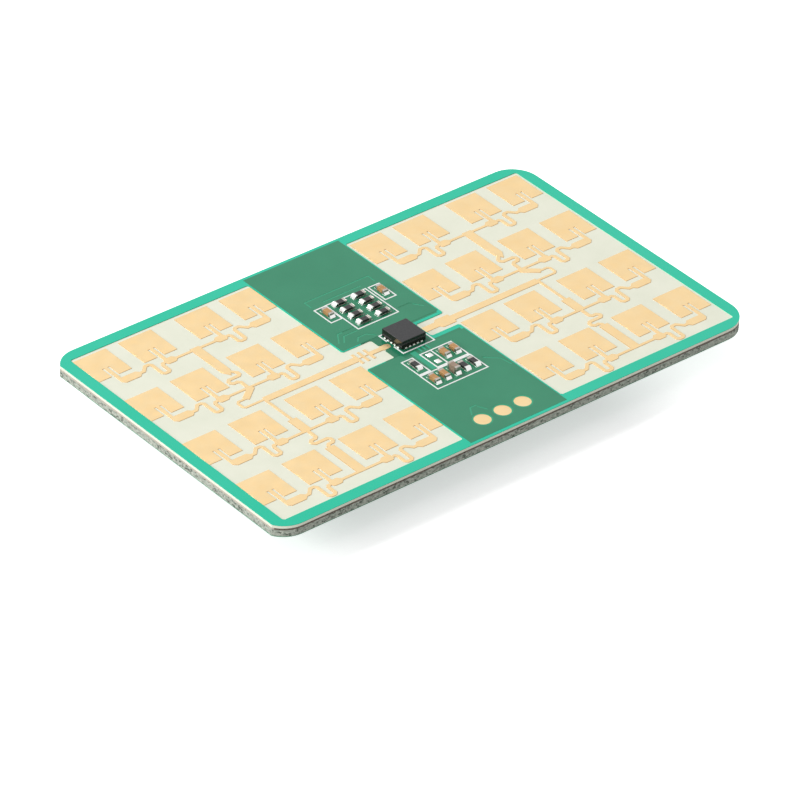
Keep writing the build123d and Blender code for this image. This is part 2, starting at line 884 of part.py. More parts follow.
def socket_body(x):
    """A strip with a square hole for each way and a notch for each tail."""
    length = socket_ways * socket_pitch + 2 * socket_end_wall
    with BuildPart() as body:
        with BuildSketch():
            with Locations((x, 0)):
                Rectangle(socket_width, length)
                with Locations(*[(0, spot) for spot, side in socket_offsets()]):
                    Rectangle(socket_hole, socket_hole, mode=Mode.SUBTRACT)
        extrude(amount=socket_height)
        rims = body.faces().sort_by(Axis.Z)[0].inner_wires()
        chamfer([edge for rim in rims for edge in rim.edges()], length=socket_chamfer)
        with BuildSketch(Plane.XY.offset(under_face)):
            for spot, side in socket_offsets():
                with Locations((x + side * socket_width / 4, spot)):
                    Rectangle(socket_width / 2, contact_tail_width)
        extrude(amount=-contact_thickness, mode=Mode.SUBTRACT)
    return body.part


def socket_contacts(x):
    """One contact for each way: a plate on the board, two leaves in the hole and a tail."""
    leaf_x = (socket_hole - contact_thickness) / 2
    with BuildPart() as contacts:
        with BuildSketch(Plane.XY.offset(under_face)):
            for spot, side in socket_offsets():
                tail = socket_width / 2 + contact_tail_reach
                with Locations((x + side * (tail - socket_hole / 2) / 2, spot)):
                    Rectangle(tail + socket_hole / 2, contact_tail_width)
        extrude(amount=-contact_thickness)
        with BuildSketch(Plane.XY.offset(under_face - contact_thickness)):
            for spot, side in socket_offsets():
                with Locations((x - leaf_x, spot), (x + leaf_x, spot)):
                    Rectangle(contact_thickness, contact_tail_width)
        extrude(amount=-contact_leaf_length)
    return contacts.part


socket_places = (("left", board_left + socket_inset), ("right", board_right - socket_inset))
for name, x in socket_places:
    write(socket_body(x), f"socket_{name}_body")
    write(socket_contacts(x), f"socket_{name}_contacts")

# Underside: lands and mask
with BuildSketch() as under_lands:
    for name, x, y, angle, height in under_parts:
        add(land_pair(x, y, angle))
    add(lead_lands(controller_x, controller_y, controller_sides,
                   controller_pin_width + lead_land_margin, controller_lead_reach, lead_foot))
    add(lead_lands(amplifier_x, amplifier_y, amplifier_sides,
                   amplifier_pin_width + lead_land_margin, amplifier_lead_reach, lead_foot))
    add(lead_lands(regulator_x, regulator_y, regulator_sides,
                   regulator_pin_width + lead_land_margin, regulator_lead_reach, regulator_foot))
    for name, x in socket_places:
        for spot, side in socket_offsets():
            with Locations((x + side * (socket_width + contact_tail_reach) / 2, spot)):
                Rectangle(contact_tail_reach + land_overhang, contact_tail_width + land_overhang)
    with Locations((crystal_x, crystal_y)):
        with GridLocations(crystal_length - crystal_land, crystal_width - crystal_land, 2, 2):
            Rectangle(crystal_land, crystal_land)

with BuildPart() as underside_lands:
    with BuildSketch(Plane.XY.offset(under_face)):
        add(under_lands.sketch)
    extrude(amount=mask_thickness)
write(underside_lands.part, "underside_lands")

with BuildPart() as solder_mask_bottom:
    with BuildSketch(Plane.XY.offset(under_face)):
        add(board_outline())
        add(under_lands.sketch, mode=Mode.SUBTRACT)
        for name, x, y, angle, height in under_parts:
            add(part_opening(x, y, angle), mode=Mode.SUBTRACT)
        tip = controller_size / 2 + controller_lead_reach
        add(gang_openings(controller_x, controller_y, all_sides,
                          tip - lead_foot - land_overhang / 2, tip + land_overhang / 2,
                          controller_pins_per_side * controller_pin_pitch), mode=Mode.SUBTRACT)
        tip = amplifier_width / 2 + amplifier_lead_reach
        add(gang_openings(amplifier_x, amplifier_y, (90, 270),
                          tip - lead_foot - land_overhang / 2, tip + land_overhang / 2,
                          amplifier_pins_per_side * amplifier_pin_pitch), mode=Mode.SUBTRACT)
    extrude(amount=mask_thickness)
write(solder_mask_bottom.part, "solder_mask_bottom")
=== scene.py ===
"""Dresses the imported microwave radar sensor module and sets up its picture.

The board lies with its antenna face up, on the sockets of its underside. Each
class holds the sizes of one sub-assembly, in millimetres, and builds its
pieces; each finish is a frozen dataclass that makes one material.
"""

from __future__ import annotations

import logging
import math
from collections.abc import Iterable, Sequence
from dataclasses import dataclass, field
from enum import Enum

import bmesh
import bpy
from mathutils import Matrix, Vector


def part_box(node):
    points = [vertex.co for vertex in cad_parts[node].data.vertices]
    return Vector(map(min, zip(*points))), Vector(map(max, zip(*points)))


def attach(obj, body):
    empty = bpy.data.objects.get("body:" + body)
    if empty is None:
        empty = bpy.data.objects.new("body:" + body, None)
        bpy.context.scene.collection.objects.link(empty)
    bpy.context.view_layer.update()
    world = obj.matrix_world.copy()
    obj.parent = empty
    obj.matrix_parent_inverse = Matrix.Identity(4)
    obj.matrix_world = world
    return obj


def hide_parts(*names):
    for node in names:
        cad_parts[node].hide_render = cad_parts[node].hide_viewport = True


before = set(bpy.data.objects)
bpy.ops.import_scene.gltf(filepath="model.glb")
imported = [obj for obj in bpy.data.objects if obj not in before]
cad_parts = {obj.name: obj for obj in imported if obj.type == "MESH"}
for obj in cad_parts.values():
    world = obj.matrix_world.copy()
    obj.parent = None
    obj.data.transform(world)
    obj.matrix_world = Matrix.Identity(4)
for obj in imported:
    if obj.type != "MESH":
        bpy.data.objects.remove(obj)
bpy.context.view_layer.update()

LOG = logging.getLogger("radar_module")
METRES_PER_MM = 0.001
# Faces larger than this, in square millimetres, are plane, so they are shaded flat.
FLAT_FROM = 0.12
# Edges that turn by more than this are shaded sharp.
SHARP_FROM = math.radians(35)
# Points of a solid nearer to each other than this, in millimetres, are one.
SAME_POINT = 0.002
# Faces of a solid that turn by less than this lie in one plane.
SAME_PLANE = math.radians(1)
# A face whose normal rises or falls by less than this stands upright.
UPRIGHT = 0.1
# Values of a noise texture between which a tone or a gloss runs its whole way.
NOISE_LOW, NOISE_HIGH = 0.3, 0.7
# Length after which a wave texture repeats, at a scale of 1.
WAVE_PERIOD = math.tau / 20
WHITE = (1.0, 1.0, 1.0, 1.0)
# The one chip part that stands taller than its row.
TALL_PART = "lower_capacitor_3"

Pair = tuple[float, float]
Point = tuple[float, float, float]
Socket = bpy.types.NodeSocket
Tree = bpy.types.NodeTree


def linear(code: str) -> tuple[float, float, float, float]:
    """Turns an sRGB colour into linear light, by the curve of that standard.

    Args:
        code: The colour as six hex digits.

    Returns:
        Red, green and blue in linear light, and an alpha of 1.
    """
    shares = [int(code[start:start + 2], 16) / 255 for start in (0, 2, 4)]
    light = [share / 12.92 if share <= 0.04045 else ((share + 0.055) / 1.055) ** 2.4
             for share in shares]
    return light[0], light[1], light[2], 1.0


def per_metre(size: float) -> float:
    """Gives the texture scale at which a pattern repeats about every `size` millimetres."""
    return 1 / (size * METRES_PER_MM)


def add_node(tree: Tree, kind: str, inputs: dict[str | int, object] | None = None,
             **settings: object) -> bpy.types.Node:
    """Adds a node with its settings and links.

    Args:
        tree: The node tree that it joins.
        kind: Blender's name of the node, without its first word.
        inputs: Value of each input, or the output that is linked to it.
        **settings: Properties of the node.

    Returns:
        The node.
    """
    node = tree.nodes.new("ShaderNode" + kind)
    for name, value in settings.items():
        setattr(node, name, value)
    for name, value in (inputs or {}).items():
        if isinstance(value, bpy.types.NodeSocket):
            tree.links.new(value, node.inputs[name])
        else:
            node.inputs[name].default_value = value
    return node


# Finishes


@dataclass(frozen=True)
class ToneArea:
    """A rectangle of the board where a finish shows another tone.

    Attributes:
        colour: Its colour, sRGB.
        low: Its corner with the lowest X and Y, mm.
        high: Its corner with the highest X and Y, mm.
    """

    colour: str
    low: Pair
    high: Pair


@dataclass(frozen=True)
class Finish:
    """A material: a tone that wanders to a second one, a gloss and a fine relief.

    Attributes:
        name: Name of the material.
        colour: Main colour, sRGB.
        shade: Colour that the mottling runs to, sRGB.
        roughness: Middle of the roughness.
        roughness_spread: How far the roughness wanders to each side.
        metallic: 1 for bare metal.
        ior: Refractive index of a finish that isn't metal.
        specular: Level of the surface reflection.
        mottle_size: Size of the mottling, mm.
        stretch: Stretch of the mottling along each axis.
        relief_size: Size of the relief's grain, mm.
        relief_depth: Depth of the relief, mm.
        areas: Rectangles of other tones, each over the ones before it.
    """

    name: str
    colour: str
    shade: str
    roughness: float
    roughness_spread: float = 0.04
    metallic: float = 0.0
    ior: float = 1.5
    specular: float = 0.5
    mottle_size: float = 2.0
    stretch: Point = (1.0, 1.0, 1.0)
    relief_size: float = 0.2
    relief_depth: float = 0.002
    areas: tuple[ToneArea, ...] = ()

    def tone(self, tree: Tree, place: Socket) -> Socket:
        """Mixes the two colours by a soft noise.

        Args:
            tree: The material's node tree.
            place: Object coordinates, stretched.

        Returns:
            The colour.
        """
        noise = add_node(tree, "TexNoise", {"Vector": place, "Scale": per_metre(self.mottle_size),
                                            "Detail": 3.0, "Roughness": 0.55})
        spread = add_node(tree, "MapRange", {"Value": noise.outputs["Fac"],
                                             "From Min": NOISE_LOW, "From Max": NOISE_HIGH})
        mixed = add_node(tree, "Mix", {0: spread.outputs["Result"], 6: linear(self.colour),
                                       7: linear(self.shade)}, data_type="RGBA")
        return mixed.outputs[2]

    def layered_tone(self, tree: Tree, place: Socket) -> Socket:
        """Lays the areas over the plain tone.

        Args:
            tree: The material's node tree.
            place: Object coordinates, unstretched along X and Y where there are areas.

        Returns:
            The colour.
        """
        axes = add_node(tree, "SeparateXYZ", {"Vector": place})
        colour = self.tone(tree, place)
        for area in self.areas:
            inside = []
            for axis, low, high in zip("XY", area.low, area.high):
                inside.append(add_node(tree, "Math", {
                    0: axes.outputs[axis], 1: (low + high) / 2 * METRES_PER_MM,
                    2: (high - low) / 2 * METRES_PER_MM}, operation="COMPARE").outputs[0])
            share = add_node(tree, "Math", {0: inside[0], 1: inside[1]}, operation="MULTIPLY")
            colour = add_node(tree, "Mix", {0: share.outputs[0], 6: colour,
                                            7: linear(area.colour)},
                              data_type="RGBA").outputs[2]
        return colour

    def gloss(self, tree: Tree, place: Socket) -> Socket:
        """Lets the roughness wander a little, as wear and handling do.

        Args:
            tree: The material's node tree.
            place: Object coordinates, stretched.

        Returns:
            The roughness.
        """
        noise = add_node(tree, "TexNoise", {"Vector": place,
                                            "Scale": per_metre(self.mottle_size / 2)})
        wander = add_node(tree, "MapRange", {
            "Value": noise.outputs["Fac"], "From Min": NOISE_LOW, "From Max": NOISE_HIGH,
            "To Min": self.roughness - self.roughness_spread,
            "To Max": self.roughness + self.roughness_spread})
        return wander.outputs["Result"]

    def height(self, tree: Tree, place: Socket) -> Socket:
        """Gives the relief's height, from 0 to 1.

        Args:
            tree: The material's node tree.
            place: Object coordinates, stretched.

        Returns:
            The height.
        """
        noise = add_node(tree, "TexNoise", {"Vector": place, "Scale": per_metre(self.relief_size),
                                            "Detail": 2.0})
        return noise.outputs["Fac"]

    def make(self) -> bpy.types.Material:
        """Makes the material, once.

        Returns:
            The material of this finish.
        """
        known = bpy.data.materials.get(self.name)
        if known is not None:
            return known
        material = bpy.data.materials.new(self.name)
        material.use_nodes = True
        material.diffuse_color = linear(self.colour)
        tree = material.node_tree
        tree.nodes.clear()
        coordinates = add_node(tree, "TexCoord")
        mapping = add_node(tree, "Mapping", {"Vector": coordinates.outputs["Object"],
                                             "Scale": self.stretch})
        place = mapping.outputs["Vector"]
        bump = add_node(tree, "Bump", {"Height": self.height(tree, place), "Strength": 1.0,
                                       "Distance": self.relief_depth * METRES_PER_MM})
        inputs: dict[str | int, object] = {
            "Base Color": self.layered_tone(tree, place), "Roughness": self.gloss(tree, place),
            "Metallic": self.metallic, "Normal": bump.outputs["Normal"]}
        if not self.metallic:
            inputs |= {"IOR": self.ior, "Specular IOR Level": self.specular}
        shader = add_node(tree, "BsdfPrincipled", inputs)
        add_node(tree, "OutputMaterial", {"Surface": shader.outputs["BSDF"]})
        return material


@dataclass(frozen=True)
class WovenFinish(Finish):
    """A laminate whose glass cloth shows faintly through its resin.

    The threads, half a millimetre apart, are too fine to show, so their bands are drawn wide.

    Attributes:
        band: Spacing of the bands, mm.
        band_share: How strongly the bands show in the colour.
    """

    band: float = 3.77
    band_share: float = 0.15

    def weave(self, tree: Tree, place: Socket) -> Socket:
        """Crosses two sets of soft bands, one along each axis.

        Args:
            tree: The material's node tree.
            place: Object coordinates, stretched.

        Returns:
            The height of the cloth, from 0 to 1.
        """
        bands = [add_node(tree, "TexWave", {"Vector": place,
                                            "Scale": WAVE_PERIOD * per_metre(self.band),
                                            "Distortion": 0.6, "Detail": 1.0},
                          bands_direction=axis).outputs["Fac"] for axis in ("X", "Y")]
        crossed = add_node(tree, "Math", {0: bands[0], 1: bands[1]}, operation="MULTIPLY")
        return crossed.outputs[0]

    def tone(self, tree: Tree, place: Socket) -> Socket:
        """Darkens the mottled colour a little between the bands.

        Args:
            tree: The material's node tree.
            place: Object coordinates, stretched.

        Returns:
            The colour.
        """
        share = add_node(tree, "Math", {0: self.weave(tree, place), 1: self.band_share},
                         operation="MULTIPLY")
        mottled = super().tone(tree, place)
        mixed = add_node(tree, "Mix", {0: share.outputs[0], 6: mottled, 7: linear(self.shade)},
                         data_type="RGBA")
        return mixed.outputs[2]

    def height(self, tree: Tree, place: Socket) -> Socket:
        """Gives the height of the cloth under the resin."""
        return self.weave(tree, place)


@dataclass(frozen=True)
class FibreEdgeFinish(Finish):
    """The routed edge of a glass-epoxy board, with cut ends of fibre bundles.

    Attributes:
        fleck: Colour of the dark pits between the bundles, sRGB.
        fleck_size: Size of the pits, mm.
        fleck_start: Noise level at which a pit begins to show.
        fleck_fade: How much higher the level is where it shows in full.
    """

    fleck: str = "3f423c"
    fleck_size: float = 0.25
    fleck_start: float = 0.56
    fleck_fade: float = 0.08

    def tone(self, tree: Tree, place: Socket) -> Socket:
        """Lays dark pits over the mottled bundles.

        Args:
            tree: The material's node tree.
            place: Object coordinates, stretched.

        Returns:
            The colour.
        """
        noise = add_node(tree, "TexNoise", {"Vector": place, "Scale": per_metre(self.fleck_size),
                                            "Detail": 4.0, "Roughness": 0.7})
        pits = add_node(tree, "MapRange", {"Value": noise.outputs["Fac"],
                                           "From Min": self.fleck_start,
                                           "From Max": self.fleck_start + self.fleck_fade})
        mottled = super().tone(tree, place)
        mixed = add_node(tree, "Mix", {0: pits.outputs["Result"], 6: mottled,
                                       7: linear(self.fleck)}, data_type="RGBA")
        return mixed.outputs[2]


# Tones of the solder mask, by what lies under it, with painted shade among the parts and round
# the chip.
OVER_INNER_COPPER = "3aa67f"
OVER_COPPER = "308a67"
# Mask over copper among the crowded lands, darkened further by painted shade between the parts.
LANDS_COPPER_AND_PAINTED_SHADE = "2a8460"
# Painted shade that the radar chip casts on the mask round it.
CHIP_PAINTED_SHADE = "1f7a58"
OPEN_LANE = "2ca983"
STRIP_AREAS = (
    # Behind and in front of the feeds.
    ToneArea(OVER_INNER_COPPER, (-6.1, 2.1), (5.55, 17.3)),
    ToneArea(OVER_INNER_COPPER, (-6.1, -17.3), (5.55, -2.75)),
    # Behind and in front of the radar chip: over copper, with painted shade between the parts.
    ToneArea(LANDS_COPPER_AND_PAINTED_SHADE, (-4.3, 4.0), (4.5, 9.3)),
    ToneArea(LANDS_COPPER_AND_PAINTED_SHADE, (-3.6, -8.8), (4.0, -2.8)),
    # Along both sides of the right feed; and round the radar chip, the painted shade that the
    # chip casts.
    ToneArea(OVER_COPPER, (1.9, -2.75), (5.55, -1.72)),
    ToneArea(OVER_COPPER, (1.9, 1.62), (5.55, 2.1)),
    ToneArea(CHIP_PAINTED_SHADE, (-4.1, -2.75), (2.2, 2.1)),
    # The lane in front of the chip, and three of its signal lines.
    ToneArea(OPEN_LANE, (-1.3, -5.75), (-0.65, -2.3)),
    ToneArea(OPEN_LANE, (-0.2, -2.75), (0.0, -1.9)),
    ToneArea(OPEN_LANE, (0.3, -2.75), (0.5, -1.9)),
    ToneArea(OPEN_LANE, (0.8, -2.75), (1.0, -1.9)))
# Solder mask: an epoxy ink, screened on and cured glossy. Over bare laminate it is a bright
# blue-green and over an inner copper layer greener. Among the crowded lands it is darker still,
# with painted shade between the parts, and round the chip painted shade makes it darkest.
MASK = Finish("solder_mask_green", "12c9a4", "2accaa", 0.2, 0.05, specular=0.3, mottle_size=9.0,
              relief_size=0.8, relief_depth=0.003, areas=STRIP_AREAS)
# The same ink over the ground copper, which shows through it as a darker, deeper green.
MASK_OVER_COPPER = Finish("solder_mask_over_copper", OVER_COPPER, "378f6c", 0.22, 0.05,
                          specular=0.3, mottle_size=5.0, relief_size=0.6, relief_depth=0.003)
# The same ink on the underside: an even mid green, a little duller.
MASK_BELOW = Finish("solder_mask_under", "3a8c6a", "429672", 0.34, 0.05, specular=0.3,
                    mottle_size=5.0, relief_size=0.6, relief_depth=0.004)
# Immersion gold over nickel: a thin, even, satin plating that reads as a pale peach yellow.
GOLD = Finish("immersion_gold", "f0d5a5", "edcf9b", 0.42, 0.05, metallic=1.0,
              mottle_size=1.5, relief_size=0.12, relief_depth=0.001)
# The etched flank of the plated copper is rougher, and painted darker: painted shade on the rim
# and sides.
GOLD_FLANK_PAINTED_SHADE = Finish("etched_gold_flank_painted_shade", "e2bd8a", "cfa878", 0.5, 0.05, metallic=1.0,
                    mottle_size=0.4, relief_size=0.08, relief_depth=0.003)
# Rolled foil under the mask: bare copper, satin, seen only where the mask ends.
COPPER = Finish("foil_copper", "d68a63", "c97a55", 0.4, metallic=1.0)
# Microwave laminate: ceramic-filled resin on fine glass cloth, pressed flat. Matt cream.
LAMINATE = WovenFinish("microwave_laminate_cream", "f3f4e2", "edefdc", 0.6, specular=0.35,
                       mottle_size=3.0, relief_depth=0.004)
# Bond sheet between the laminates: cured dark resin, cut rough. At the left end its face is
# painted
# pale: painted light where the lamp from that side falls on it.
BOND = FibreEdgeFinish("bond_sheet_brown", "6d5f54", "4f423a", 0.7, mottle_size=0.5,
                       stretch=(1.0, 1.0, 0.3), fleck="2b221b",
                       areas=(ToneArea("c3b8aa", (-30.5, -18.5), (-29.7, 18.5)),))
# Glass-epoxy base: the cut edge is grey-green with the pale ends of glass bundles.
GLASS_EPOXY = FibreEdgeFinish("glass_epoxy_edge", "c9cdc0", "8b978a", 0.75, mottle_size=0.35,
                              stretch=(1.0, 1.0, 1.6), relief_size=0.2, relief_depth=0.03,
                              fleck="525b50", fleck_size=0.4, fleck_start=0.52)
# White print: epoxy ink, slightly chalky.
PRINT_INK = Finish("white_print_ink", "fbfcfa", "f1f4f1", 0.55, mottle_size=0.5,
                   relief_size=0.1, relief_depth=0.003)
# Transfer-moulded epoxy: charcoal, with a fine spark-eroded grain.
MOULDED_EPOXY = Finish("moulded_epoxy_black", "29292b", "232325", 0.45, 0.06, mottle_size=0.4,
                       relief_size=0.09, relief_depth=0.006)
# The sides of the radar chip are sawn through the same epoxy, so they are smoother; their darker
# colour is painted shade.
SAWN_EPOXY_PAINTED_SHADE = Finish("sawn_epoxy_painted_shade", "1c1b19", "262320", 0.17, 0.05, specular=0.45,
                    mottle_size=0.3, stretch=(1.0, 1.0, 4.0), relief_size=0.15,
                    relief_depth=0.002)
# Matt tin on copper leads and caps: a warm mid grey beside bright solder.
TIN = Finish("matt_tin_plate", "c4bdb6", "b3aca5", 0.34, 0.06, metallic=1.0, mottle_size=0.3,
             relief_size=0.06, relief_depth=0.002)
# Lands wetted by a thin film of solder: duller than a full fillet.
WETTED_LAND = Finish("wetted_land_tin", "bcc2ba", "a9b0a8", 0.42, 0.06, metallic=1.0,
                     mottle_size=0.4, relief_size=0.15, relief_depth=0.004)
# Copper terminals sawn through with the chip's body, painted dark brown as the shade in their
# recesses.
SAWN_COPPER_PAINTED_SHADE = Finish("sawn_copper_painted_shade", "6b5f50", "544a3e", 0.35, 0.06, metallic=1.0,
                     mottle_size=0.2, relief_size=0.06, relief_depth=0.002)
# Reflowed solder: bright, with slow waves where it froze.
SOLDER = Finish("reflowed_solder", "f8f8f6", "ececea", 0.26, 0.06, metallic=1.0, mottle_size=0.3,
                relief_size=0.25, relief_depth=0.01)
# Alumina body of a chip resistor: chalk white, fired.
ALUMINA = Finish("alumina_white", "dedbd3", "cfccc4", 0.6, mottle_size=0.3)
# Overcoat of a chip resistor: black glass frit.
OVERCOAT = Finish("black_overcoat", "1d1b1c", "272424", 0.35, 0.08, mottle_size=0.25,
                  relief_size=0.2, relief_depth=0.006)
# Fired dielectric of a chip capacitor: tan, matt, slightly speckled.
CAPACITOR_TAN = Finish("capacitor_ceramic_tan", "c99a65", "b58552", 0.5, 0.06, mottle_size=0.3,
                       relief_size=0.1, relief_depth=0.003)
# The taller capacitor's dielectric, fired greyer and duller than its neighbours'.
CAPACITOR_GREY = Finish("capacitor_ceramic_grey", "a8917f", "927b6a", 0.5, 0.06, mottle_size=0.3,
                        relief_size=0.1, relief_depth=0.003)
# Seam-welded lid of a crystal: drawn nickel alloy, satin, with faint lines along it.
LID_METAL = Finish("crystal_lid_metal", "cfcabc", "bdb7a8", 0.35, 0.06, metallic=1.0,
                   mottle_size=0.8, stretch=(1.0, 8.0, 1.0), relief_size=0.15,
                   relief_depth=0.002)
# Tray of a crystal: co-fired dark ceramic, matt and even.
CRYSTAL_CERAMIC = Finish("crystal_base_ceramic", "3b3836", "45423f", 0.6, mottle_size=0.3)
# Moulded sockets: black glass-filled nylon with a fine grain.
SOCKET_PLASTIC = Finish("socket_plastic_black", "26272a", "202124", 0.5, 0.06, mottle_size=1.5,
                        relief_size=0.15, relief_depth=0.006)
# Contacts: gold flash on spring bronze.
CONTACT = Finish("contact_gold_flash", "e6c27c", "d9b168", 0.3, metallic=1.0, mottle_size=0.6)


# Making pieces


def finished_piece(name: str, work: bmesh.types.BMesh, finishes: Sequence[Finish],
                   stands_for: Iterable[str] = ()) -> bpy.types.Object:
    """Turns a work mesh in millimetres into a shaded piece that rides on the board.

    Args:
        name: Name of the piece.
        work: Its mesh, freed afterwards.
        finishes: Its finishes, in the order of its material numbers.
        stands_for: CAD nodes that it replaces.

    Returns:
        The piece.
    """
    bmesh.ops.recalc_face_normals(work, faces=work.faces)
    bmesh.ops.scale(work, vec=Vector((METRES_PER_MM,) * 3), verts=work.verts)
    mesh = bpy.data.meshes.new(name)
    work.to_mesh(mesh)
    work.free()
    for finish in finishes:
        mesh.materials.append(finish.make())
    mesh.set_sharp_from_angle(angle=SHARP_FROM)
    for face in mesh.polygons:
        face.use_smooth = face.area < FLAT_FROM * METRES_PER_MM ** 2
    piece = bpy.data.objects.new(name, mesh)
    bpy.context.scene.collection.objects.link(piece)
    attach(piece, "root")
    if stands_for:
        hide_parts(*stands_for)
    LOG.info("%s: %d faces", name, len(mesh.polygons))
    return piece


def dress(node: str, *finishes: Finish) -> None:
    """Gives the CAD node's own mesh a finish.

    Args:
        node: Name of the node.
        *finishes: One finish for each of its material slots.
    """
    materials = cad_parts[node].data.materials
    for index, finish in enumerate(finishes):
        materials[index] = finish.make()
    LOG.info("%s: dressed in %s", node, ", ".join(finish.name for finish in finishes))


def box_of(node: str) -> tuple[Vector, Vector]:
    """Gives the lowest and highest corners of a CAD node, in millimetres."""
    low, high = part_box(node)
    return Vector(low) / METRES_PER_MM, Vector(high) / METRES_PER_MM


def merged_copy(node: str) -> bmesh.types.BMesh:
    """Copies a CAD node's mesh, welded and with its flat faces joined.

    Args:
        node: Name of the node.

    Returns:
        The copy, in millimetres.
    """
    work = bmesh.new()
    work.from_mesh(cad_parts[node].data)
    bmesh.ops.scale(work, vec=Vector((1 / METRES_PER_MM,) * 3), verts=work.verts)
    bmesh.ops.remove_doubles(work, verts=work.verts, dist=SAME_POINT)
    bmesh.ops.dissolve_limit(work, angle_limit=SAME_PLANE, use_dissolve_boundaries=False,
                             verts=work.verts, edges=work.edges)
    return work


def edges_at(vertices: Iterable[bmesh.types.BMVert]) -> list[bmesh.types.BMEdge]:
    """Lists the edges that meet some vertices, each once."""
    return list(dict.fromkeys(edge for vertex in vertices for edge in vertex.link_edges))


def mark_sides(work: bmesh.types.BMesh) -> None:
    """Gives the upright faces the second material and all others the first."""
    for face in work.faces:
        face.material_index = 1 if abs(face.normal.z) < UPRIGHT else 0


def round_edges(work: bmesh.types.BMesh, edges: Iterable[bmesh.types.BMEdge], width: float,
                segments: int = 2, material: int = -1, clamp: bool = True
                ) -> list[bmesh.types.BMVert]:
    """Rounds some edges.

    Args:
        work: Their mesh.
        edges: The edges.
        width: Width of the rounding, mm.
        segments: Steps of the rounding.
        material: Its material number, or -1 for the one beside it.
        clamp: Whether it is narrowed where edges are short.

    Returns:
        The vertices of the rounding.
    """
    rounded = bmesh.ops.bevel(work, geom=list(edges), offset=width, offset_type="OFFSET",
                              segments=segments, profile=0.5, affect="EDGES",
                              clamp_overlap=clamp, material=material)
    return rounded["verts"]


def add_cuboid(work: bmesh.types.BMesh, low: Vector, high: Vector) -> list[bmesh.types.BMVert]:
    """Adds a sharp block between two corners, in millimetres, and gives its vertices."""
    matrix = Matrix.Translation((low + high) / 2) @ Matrix.Diagonal((*(high - low), 1))
    return bmesh.ops.create_cube(work, size=1, matrix=matrix)["verts"]


def add_block(work: bmesh.types.BMesh, low: Vector, high: Vector, round_off: float,
              material: int = 0) -> list[bmesh.types.BMVert]:
    """Adds a block with rounded edges.

    Args:
        work: The mesh that it joins.
        low: Its lowest corner, mm.
        high: Its highest corner, mm.
        round_off: Width of the rounding, mm.
        material: Its material number.

    Returns:
        The vertices of the block.
    """
    edges = edges_at(add_cuboid(work, low, high))
    for edge in edges:
        for face in edge.link_faces:
            face.material_index = material
    return round_edges(work, edges, round_off)


def add_prism(work: bmesh.types.BMesh, outline: Sequence[Pair], width: float,
              matrix: Matrix, material: int = 0) -> list[bmesh.types.BMVert]:
    """Adds a profile in the X and Z directions, drawn out along Y.

    Args:
        work: The mesh that it joins.
        outline: Corners of the profile, mm.
        width: How far it is drawn out, mm, half to each side.
        matrix: Place and turn of the profile.
        material: Its material number.

    Returns:
        The vertices of the prism.
    """
    near = [work.verts.new((along, -width / 2, up)) for along, up in outline]
    face = work.faces.new(near)
    drawn = bmesh.ops.extrude_face_region(work, geom=[face])
    far = [item for item in drawn["geom"] if isinstance(item, bmesh.types.BMVert)]
    bmesh.ops.translate(work, verts=far, vec=Vector((0, width, 0)))
    every = near + far
    bmesh.ops.holes_fill(work, edges=[edge for edge in edges_at(every) if edge.is_boundary],
                         sides=0)
    for vertex in every:
        for face in vertex.link_faces:
            face.material_index = material
    bmesh.ops.transform(work, matrix=matrix, verts=every)
    return every


def solder_outline(slope: Sequence[Pair], reach: float, climb: float, lap: float) -> list[Pair]:
    """Draws the side of a slope of solder in front of a metal face.

    Args:
        slope: Corners of the slope, as shares of its reach and climb.
        reach: How far it runs out from the face, mm.
        climb: How far it climbs the face, mm.
        lap: How far it reaches in behind the face, mm.

    Returns:
        Corners, outwards from the face and up from the board, mm.
    """
    outer = [(reach * along, climb * up) for along, up in slope]
    return [(-lap, 0.0), *outer, (-lap, climb)]


# Sub-assemblies


@dataclass
class Substrate:
    """The layered board: laminates, masks, lands and print.

    Attributes:
        film_rise: How far the mask over copper stands above the rest, mm.
        film_root: How far that film reaches down into the mask, mm.
        shared_print: Ends in X of each stretch where two printed boxes share a side, mm.
        shared_y: Lowest and highest Y of those stretches, mm.
        print_round: Rounding of the print, mm.
        finishes: Finish of each CAD node that stays.
    """

    film_rise: float = 0.014
    film_root: float = 0.01
    shared_print: tuple[Pair, ...] = ((-3.09, -1.59), (-0.74, 3.34))
    shared_y: Pair = (-5.93, -5.82)
    print_round: float = 0.005
    finishes: dict[str, Finish] = field(default_factory=lambda: {
        "base_laminate": GLASS_EPOXY, "bond_layer": BOND, "rf_laminate": LAMINATE,
        "solder_mask_top": MASK, "solder_mask_bottom": MASK_BELOW, "ground_pour": COPPER,
        "component_lands": WETTED_LAND, "underside_lands": WETTED_LAND,
        "printed_outlines": PRINT_INK,
        "test_pad_1": GOLD, "test_pad_2": GOLD, "test_pad_3": GOLD})

    def dress_layers(self) -> None:
        """Gives each layer its finish."""
        for node, finish in self.finishes.items():
            dress(node, finish)

    def mask_film(self) -> bpy.types.Object:
        """Builds the darker mask that lies over the ground copper.

        Returns:
            The film, with the outline and the routing gaps of the copper.
        """
        work = merged_copy("ground_pour")
        mask_top = box_of("solder_mask_top")[1].z
        low, high = box_of("ground_pour")
        middle = (low.z + high.z) / 2
        for vertex in work.verts:
            raised = vertex.co.z > middle
            vertex.co.z = mask_top + (self.film_rise if raised else -self.film_root)
        return finished_piece("mask_over_copper", work, [MASK_OVER_COPPER])

    def print_joints(self) -> bpy.types.Object:
        """Lets the print run together where two boxes share a side.

        Returns:
            The joints.
        """
        low, high = box_of("printed_outlines")
        work = bmesh.new()
        for near, far in self.shared_print:
            add_block(work, Vector((near, self.shared_y[0], low.z)),
                      Vector((far, self.shared_y[1], high.z)), self.print_round)
        return finished_piece("print_joints", work, [PRINT_INK])

    def build(self) -> None:
        """Dresses the layers and adds the film and the print's joints."""
        self.dress_layers()
        self.mask_film()
        self.print_joints()


